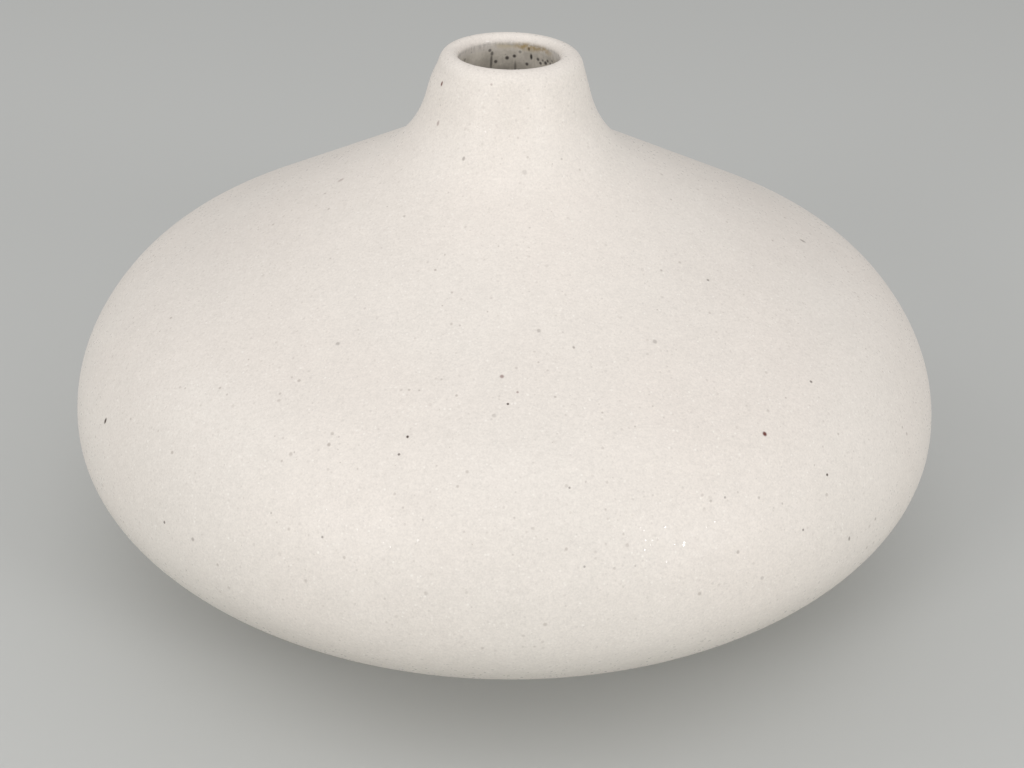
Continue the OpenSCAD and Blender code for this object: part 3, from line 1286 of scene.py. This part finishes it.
@dataclass
class LinerCoat(VaseSkin):
    """The grey glaze that lines the hollow, over the finger rings, up under the white coat's edge."""

    piece_name = "grey_liner_coat"
    node_name = "liner_glaze"
    slot_name = "grey_liner_glaze"
    finish = GreyLiner()
    under: float = 0.7 * MM
    sink: float = -0.03 * MM
    thin_share: float = 0.15
    thin_reach: float = 1.6 * MM
    ridge: float = 0.45 * MM
    ridge_pitch: float = 8.5 * MM
    calm_reach: float = 26.0 * MM
    pitch: RowPitch = RowPitch(1.6, 1.6, 0.25, 4.0, 14.0)
    back_pitch: RowPitch = RowPitch(5.0, 5.0, 1.0, 6.0, 12.0)

    def surface(self) -> TurnedSurface:
        """Works out the coat.

        Its visible face stands on the clay's hollow by the coat's thickness, which thins out near the
        mouth. A spiral ridge, ridge * (1 + cos(2 pi along / pitch + angle)) / 2, stands on it, as the
        fingers leave it, and calms down towards the throat and the floor's middle. The other face lies
        just inside the clay.

        Returns:
            The surface.
        """
        track = Track(self.form.inside(0.0, self.form.glaze_lap - self.under))
        last, above = track.length, track.length - self.under
        along = np.minimum(self.rows(self.pitch, track), last)
        behind = self.rows(self.back_pitch, track)[::-1]
        thin = self.thin_share * (1 - smooth((above - along) / self.thin_reach))
        spiral = crests(FULL_TURN * along / self.ridge_pitch + self.angle)
        calm = smooth((last - along) / self.calm_reach) * smooth(along / self.calm_reach)
        front = track.offset(along, self.form.liner_t * (1 - thin) + self.ridge * spiral * calm)
        back = track.offset(behind, self.sink)
        return self.turned(Closing.AXIS, front, back, mouth_mm=[above - along, above - behind])


@dataclass
class StonewareShell(VaseSkin):
    """The thrown clay itself. Only its foot and a bare band above it show."""

    piece_name = "stoneware_shell"
    node_name = "clay_body"
    slot_name = "stoneware"
    finish = BareStoneware()
    mark_depth: float = 0.09 * MM
    mark_pitch: float = 1.15 * MM
    chatter_share: float = 0.45
    chatter: Ripple = Ripple(seed=21, waves=14, most_round=9, longest=0.02, shortest=0.002)
    stand_reach: float = 1.35 * MM
    end_reach: float = 2.0 * MM
    foot_pitch: RowPitch = RowPitch(0.42, 0.6, 0.3, 8.0, 4.0)
    hidden_pitch: RowPitch = RowPitch(3.4, 0.6, 4.0, 6.0, 6.0)
    lip_pitch: RowPitch = RowPitch(3.4, 0.7, 4.0, 24.0, 6.0)

    def surface(self) -> TurnedSurface:
        """Works out the shell.

        The foot's curve is sunk by fine turning marks, depth * (1 + cos(2 pi along / pitch + angle)) / 2,
        mixed with a ripple. They leave its standing face alone. The outside and the hollow follow the
        faces of the coats.

        Returns:
            The surface.
        """
        foot, outside = Track(self.form.foot()), Track(self.form.outside(self.form.glaze_t, 0.0))
        hollow = Track(self.form.inside(0.0, 0.0)[::-1])
        along = self.rows(self.foot_pitch, foot)
        turned = crests(FULL_TURN * along / self.mark_pitch + self.angle)
        chatter = self.chatter.field(self.angle, along)
        marks = self.mark_depth * (turned + self.chatter_share * (chatter - turned))
        standing = smooth(foot.offset(along)[..., 1] / self.stand_reach)
        faces = [foot.offset(along, marks * (standing * smooth((foot.length - along) / self.end_reach)))]
        for pitch, track in ((self.hidden_pitch, outside), (self.lip_pitch, hollow)):
            faces.append(track.offset(self.rows(pitch, track)[1:]))
        return self.turned(Closing.AXIS, *faces)


@dataclass
class FootWellCoat(VaseSkin):
    """The thin coat brushed into the well of the foot."""

    piece_name = "foot_well_coat"
    node_name = "foot_glaze"
    slot_name = "foot_well_glaze"
    finish = FootWellGlaze()
    edge_wave: float = 1.6 * MM
    edge_seed: int = 13
    edge_round: float = 1.2 * MM
    sink: float = 0.05 * MM
    ring_depth: float = 0.07 * MM
    ring_pitch: float = 3.1 * MM
    calm_reach: float = 9.3 * MM
    pitch: RowPitch = RowPitch(0.7, 0.9, 0.14, 3.0, 3.0)
    back_pitch: RowPitch = RowPitch(4.0, 4.0, 0.6, 3.0, 4.0)

    def surface(self) -> TurnedSurface:
        """Works out the coat: it hangs below the well's ceiling by its thickness, less broad rings.

        The thickness is full but for its rim, a quarter round as on the white coat.

        Returns:
            The surface.
        """
        track = Track(self.form.well)
        last = track.length - self.wave(self.edge_seed, self.edge_wave)
        along = last * self.rows(self.pitch, track) / track.length
        behind = last * self.rows(self.back_pitch, track)[::-1][1:] / track.length
        full = rounded((last - along) / self.edge_round)
        rings = self.ring_depth * crests(FULL_TURN * along / self.ring_pitch + self.angle)
        coat = (self.form.foot_glaze_t - rings * smooth(along / self.calm_reach)) * full
        faces = (track.offset(along, coat - self.sink * (1 - full)), track.offset(behind, -self.sink))
        return self.turned(Closing.AXIS, *faces, edge_mm=[last - along, last - behind])


# The studio


@dataclass(frozen=True)
class SoftLamp:
    """A square area lamp that faces the vase: its place in degrees and metres, its size and power."""

    name: str
    azimuth: float
    elevation: float
    distance: float
    size: float
    power: float

    def build(self, target: Vector) -> bpy.types.Object:
        """Makes the lamp.

        Args:
            target: The point that it faces, and from which its place is reckoned.

        Returns:
            The lamp.
        """
        data = bpy.data.lights.new(self.name, "AREA")
        data.shape, data.size, data.energy = "SQUARE", self.size, self.power
        lamp = placed(self.name, data)
        level, up = heading(self.elevation)
        away = Vector((*(heading(self.azimuth) * level), up))
        lamp.location = target + away * self.distance
        lamp.rotation_mode = "QUATERNION"
        lamp.rotation_quaternion = (-away).to_track_quat("-Z", "Y")
        return lamp


@dataclass(frozen=True)
class Studio:
    """The pale floor, the soft lamps, the even surrounding light and the camera."""

    floor_colour: Colour = (0.485, 0.50, 0.475)
    floor_shown: Colour = (0.56, 0.565, 0.55)
    backdrop: Colour = (0.36, 0.36, 0.35)
    white: Colour = (1.0, 1.0, 1.0)
    surrounding: float = 0.61
    floor_half: float = 4.0
    floor_roughness: float = 0.9
    target_height: float = 0.06
    lamps: tuple[SoftLamp, ...] = (
        SoftLamp("lamp_left", azimuth=-125.0, elevation=24.0, distance=1.3, size=0.30, power=3.0),
        SoftLamp("lamp_right", azimuth=-46.0, elevation=20.0, distance=1.3, size=0.30, power=3.65),
        SoftLamp("lamp_above", azimuth=-90.0, elevation=62.0, distance=1.4, size=0.9, power=2.25),
        SoftLamp("lamp_west", azimuth=180.0, elevation=35.0, distance=1.4, size=0.8, power=1.85),
        SoftLamp("lamp_east", azimuth=0.0, elevation=35.0, distance=1.4, size=0.8, power=0.35),
    )
    focal: float = 54.2
    sensor: float = 36.0
    camera_place: tuple[float, float, float] = (0.0, -0.4042, 0.2810)
    nearest: float = 0.01
    pitch: float = 29.85
    roll: float = 0.88
    shift: float = 0.0070

    def build_floor(self) -> bpy.types.Object:
        """Makes the floor: one large square at height zero, plain grey, shown paler where it is seen.

        Returns:
            The floor.
        """
        mesh, half = bpy.data.meshes.new("floor"), self.floor_half
        corners = [(-half, -half, 0.0), (half, -half, 0.0), (half, half, 0.0), (-half, half, 0.0)]
        mesh.from_pydata(corners, [], [(0, 1, 2, 3)])
        floor = placed("floor", mesh)
        bench = Bench(bpy.data.materials.new("floor_paper"))
        tone = bench.blend(bench.seen(), self.floor_colour, self.floor_shown)
        mesh.materials.append(bench.surface({"Base Color": tone, "Roughness": self.floor_roughness}))
        return floor

    def build_world(self) -> None:
        """Makes the surrounding light: even and white, and the backdrop's tone where it is looked at."""
        bpy.context.scene.world = bpy.data.worlds.new("surroundings")
        bench = Bench(bpy.context.scene.world)
        light, shown = (
            bench.node("ShaderNodeBackground", None, {"Color": colour, "Strength": strength})
            for colour, strength in ((self.white, self.surrounding), (self.backdrop, 1.0))
        )
        chosen = bench.node("ShaderNodeMixShader", None, {0: bench.seen(), 1: light, 2: shown})
        bench.node("ShaderNodeOutputWorld", None, {"Surface": chosen}, None)

    def build_camera(self) -> bpy.types.Object:
        """Makes the camera at the photograph's place.

        It looks along +Y, pitched down, and is rolled about its own line of sight. The small shift
        moves the vase's axis left of the middle, as in the photograph.

        Returns:
            The camera.
        """
        data = bpy.data.cameras.new("camera")
        data.sensor_width, data.lens = self.sensor, self.focal
        data.shift_x, data.clip_start = self.shift, self.nearest
        camera = placed("camera", data)
        turn = Matrix.Rotation(math.radians(90 - self.pitch), 4, "X")
        turn = turn @ Matrix.Rotation(math.radians(self.roll), 4, "Z")
        camera.matrix_world = Matrix.Translation(self.camera_place) @ turn
        bpy.context.scene.camera = camera
        return camera

    def build(self) -> None:
        """Makes the whole studio."""
        self.build_camera()
        self.build_world()
        self.build_floor()
        for lamp in self.lamps:
            lamp.build(Vector((0.0, 0.0, self.target_height)))
        bpy.context.scene.view_settings.view_transform = "Standard"
        log.info("studio: %d lamps", len(self.lamps))


def main() -> None:
    """Builds the studio and the four skins, in order, and reports each."""
    logging.basicConfig(level=logging.INFO, format="%(name)s: %(message)s")
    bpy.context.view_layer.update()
    form = VaseForm.from_frame()
    Studio().build()
    for skin in (StonewareShell(form), WhiteCoat(form), LinerCoat(form), FootWellCoat(form)):
        skin.build()


if __name__ == "__main__":
    main()
